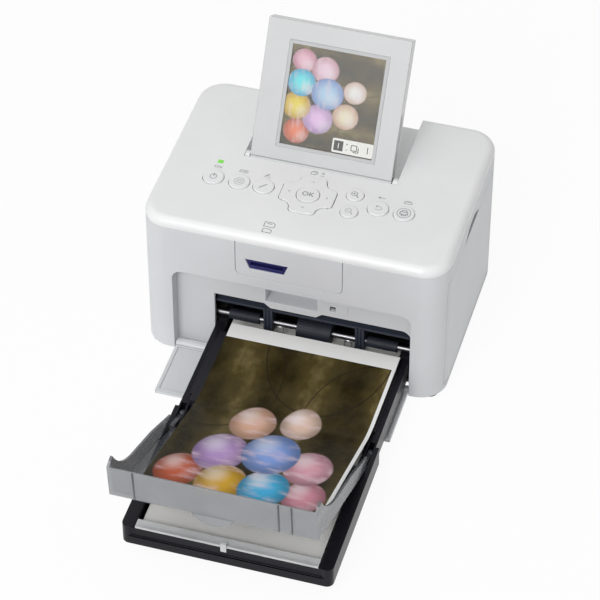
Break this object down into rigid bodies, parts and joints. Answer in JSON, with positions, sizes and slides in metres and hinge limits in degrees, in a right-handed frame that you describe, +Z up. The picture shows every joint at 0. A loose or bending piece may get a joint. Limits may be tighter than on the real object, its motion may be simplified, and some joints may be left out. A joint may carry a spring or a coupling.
{
  "type": "compact photo printer",
  "caption": "Compact dye-sublimation photo printer with folding display, paper cassette pushed in, raised output tray and a finished print lying in it.",
  "frame": {"origin": "on the table under the middle of the whole object's footprint", "axes": "+Z up, +Y from the output tray towards the printer's back, +X to the right seen from the front"},
  "size_m": [0.178, 0.3031, 0.1702],
  "materials": {
    "case_white": "satin moulded white",
    "cover_white": "glossy moulded white",
    "rear_grey": "fine spark-eroded texture",
    "slot_navy": "moulded navy",
    "chassis_black": "fine texture",
    "foot_rubber": "matte rubber",
    "screw_steel": "zinc plated",
    "frame_steel": "galvanised sheet",
    "head_ceramic": "ceramic",
    "guide_grey": "moulded blue grey",
    "spring_wire": "spring wire",
    "motor_can": "satin can",
    "board_green": "solder mask",
    "socket_black": "fine texture",
    "socket_steel": "plated sheet",
    "led_green": "clear light pipe",
    "ink_shell": "moulded",
    "ink_film": "dye film",
    "bezel_silver": "pearl silver",
    "panel_silver": "pearl silver",
    "window_clear": "clear acrylic",
    "screen": "lit picture",
    "pin_steel": "ground steel",
    "key_white": "satin",
    "cassette_black": "fine texture",
    "lid_black": "fine texture",
    "strip_clear": "clear acrylic",
    "paper_white": "paper",
    "print_gloss": "glossy photo paper",
    "tray_smoke": "smoked",
    "roller_rubber": "ground rubber",
    "gear_white": "acetal"
  },
  "bodies": {
    "case": {"bottom_chassis": "chassis_black", "main_housing": "case_white", "top_cover": "cover_white", "rear_panel": "rear_grey", "card_panel": "case_white", "card_slot": "slot_navy", "door_catch": "case_white", "rubber_feet": "foot_rubber", "case_screws": "screw_steel", "left_frame": "frame_steel", "right_frame": "frame_steel", "head_bracket": "frame_steel", "thermal_head": "head_ceramic", "exit_guide": "guide_grey", "wire_springs": "spring_wire", "drive_motor": "motor_can", "main_board": "board_green", "dc_inlet": "socket_black", "usb_socket": "socket_steel", "key_board": "board_green", "dome_switches": "socket_steel", "power_led": "led_green", "ink_cassette_shell": "ink_shell", "ribbon_film": "ink_film"},
    "display": {"display_frame": "bezel_silver", "display_back": "panel_silver", "display_window": "window_clear", "lcd_module": "screen", "display_pin": "pin_steel"},
    "power_key": {"power_key": "key_white"},
    "menu_key": {"menu_key": "key_white"},
    "edit_key": {"edit_key": "key_white"},
    "zoom_in_key": {"zoom_in_key": "key_white"},
    "zoom_out_key": {"zoom_out_key": "key_white"},
    "back_key": {"back_key": "key_white"},
    "print_key": {"print_key": "key_white"},
    "ok_key": {"ok_key": "key_white"},
    "nav_pad": {"nav_pad": "key_white"},
    "front_door": {"front_door": "case_white"},
    "ink_door": {"ink_door": "case_white"},
    "cassette": {"cassette_tray": "cassette_black", "cassette_lid": "lid_black", "cassette_strip": "strip_clear", "printed_photo": "print_gloss"},
    "lift": {"lift_plate": "frame_steel", "paper_stack": "paper_white"},
    "output_tray": {"output_tray": "tray_smoke"},
    "capstan": {"capstan_roller": "pin_steel", "capstan_gear": "gear_white"},
    "motor_pinion": {"motor_pinion": "gear_white"},
    "transfer_gear": {"transfer_gear": "gear_white"},
    "platen": {"platen_roller": "roller_rubber", "platen_gear": "gear_white"},
    "pickup_idler": {"pickup_idler": "gear_white"},
    "pickup": {"pickup_shaft": "pin_steel", "pickup_roller": "roller_rubber", "pickup_gear": "gear_white"},
    "pinch_roller": {"pinch_roller": "roller_rubber"},
    "supply_spool": {"supply_spool": "ink_film"},
    "takeup_spool": {"takeup_spool": "ink_film"}
  },
  "joints": [
    {"name": "display_fold", "type": "hinge", "parent": "case", "child": "display", "pos_m": [-0.0018, 0.09345, 0.0955], "axis": [-1, 0, 0], "range_deg": [0, 60.3]},
    {"name": "power_key_press", "type": "slide", "parent": "case", "child": "power_key", "axis": [0, 0, -1], "range_m": [0, 0.0006], "stiffness_N_per_m": 400, "springref_m": -0.001},
    {"name": "menu_key_press", "type": "slide", "parent": "case", "child": "menu_key", "axis": [0, 0, -1], "range_m": [0, 0.0006], "stiffness_N_per_m": 400, "springref_m": -0.001},
    {"name": "edit_key_press", "type": "slide", "parent": "case", "child": "edit_key", "axis": [0, 0, -1], "range_m": [0, 0.0006], "stiffness_N_per_m": 400, "springref_m": -0.001},
    {"name": "zoom_in_key_press", "type": "slide", "parent": "case", "child": "zoom_in_key", "axis": [0, 0, -1], "range_m": [0, 0.0006], "stiffness_N_per_m": 400, "springref_m": -0.001},
    {"name": "zoom_out_key_press", "type": "slide", "parent": "case", "child": "zoom_out_key", "axis": [0, 0, -1], "range_m": [0, 0.0006], "stiffness_N_per_m": 400, "springref_m": -0.001},
    {"name": "back_key_press", "type": "slide", "parent": "case", "child": "back_key", "axis": [0, 0, -1], "range_m": [0, 0.0006], "stiffness_N_per_m": 400, "springref_m": -0.001},
    {"name": "print_key_press", "type": "slide", "parent": "case", "child": "print_key", "axis": [0, 0, -1], "range_m": [0, 0.0006], "stiffness_N_per_m": 400, "springref_m": -0.001},
    {"name": "ok_key_press", "type": "slide", "parent": "case", "child": "ok_key", "axis": [0, 0, -1], "range_m": [0, 0.0006], "stiffness_N_per_m": 400, "springref_m": -0.001},
    {"name": "pad_rock", "type": "hinge", "parent": "case", "child": "nav_pad", "pos_m": [-0.002, 0.06655, 0.095], "axis": [1, 0, 0], "range_deg": [-2, 2], "stiffness_Nm_per_rad": 0.5},
    {"name": "front_door_fold", "type": "hinge", "parent": "case", "child": "front_door", "pos_m": [0, 0.02715, 0.00295], "axis": [-1, 0, 0], "range_deg": [0, 5]},
    {"name": "ink_door_fold", "type": "hinge", "parent": "case", "child": "ink_door", "pos_m": [0.0878, 0.08805, 0.0044], "axis": [0, 1, 0], "range_deg": [0, 90]},
    {"name": "cassette_slide", "type": "slide", "parent": "case", "child": "cassette", "axis": [0, -1, 0], "range_m": [0, 0.03]},
    {"name": "lift_plate_press", "type": "hinge", "parent": "cassette", "child": "lift", "pos_m": [0.0105, -0.03945, 0.0111], "axis": [-1, 0, 0], "range_deg": [0, 0.7], "stiffness_Nm_per_rad": 2, "springref_deg": -5.73},
    {"name": "output_tray_lift", "type": "hinge", "parent": "cassette", "child": "output_tray", "pos_m": [0.0105, -0.03945, 0.015], "axis": [-1, 0, 0], "range_deg": [0, 90], "deforming": ["printed_photo"]},
    {"name": "capstan_spin", "type": "hinge", "parent": "case", "child": "capstan", "pos_m": [0.0105, 0.06455, 0.05], "axis": [1, 0, 0], "continuous": true},
    {"name": "motor_spin", "type": "hinge", "parent": "case", "child": "motor_pinion", "pos_m": [0.0105, 0.04716, 0.05466], "axis": [1, 0, 0], "continuous": true},
    {"name": "transfer_spin", "type": "hinge", "parent": "case", "child": "transfer_gear", "pos_m": [0.0105, 0.08517, 0.05767], "axis": [1, 0, 0], "continuous": true},
    {"name": "platen_spin", "type": "hinge", "parent": "case", "child": "platen", "pos_m": [0.0105, 0.10755, 0.049], "axis": [1, 0, 0], "continuous": true},
    {"name": "idler_spin", "type": "hinge", "parent": "case", "child": "pickup_idler", "pos_m": [0.0105, 0.0557, 0.03096], "axis": [1, 0, 0], "continuous": true},
    {"name": "pickup_spin", "type": "hinge", "parent": "case", "child": "pickup", "pos_m": [0.0105, 0.03955, 0.023], "axis": [1, 0, 0], "continuous": true},
    {"name": "pinch_spin", "type": "hinge", "parent": "case", "child": "pinch_roller", "pos_m": [0.0105, 0.06455, 0.0604], "axis": [1, 0, 0], "continuous": true},
    {"name": "supply_spin", "type": "hinge", "parent": "case", "child": "supply_spool", "pos_m": [0.0105, 0.08655, 0.066], "axis": [1, 0, 0], "continuous": true},
    {"name": "takeup_spin", "type": "hinge", "parent": "case", "child": "takeup_spool", "pos_m": [0.0105, 0.12855, 0.066], "axis": [1, 0, 0], "continuous": true}
  ],
  "couplings": [
    {"joint": "motor_spin", "follows": "capstan_spin", "ratio": -2},
    {"joint": "transfer_spin", "follows": "capstan_spin", "ratio": -1.2},
    {"joint": "platen_spin", "follows": "capstan_spin", "ratio": 0.85714},
    {"joint": "idler_spin", "follows": "capstan_spin", "ratio": -1.3333},
    {"joint": "pickup_spin", "follows": "capstan_spin", "ratio": 1.3333},
    {"joint": "pinch_spin", "follows": "capstan_spin", "ratio": -1}
  ]
}
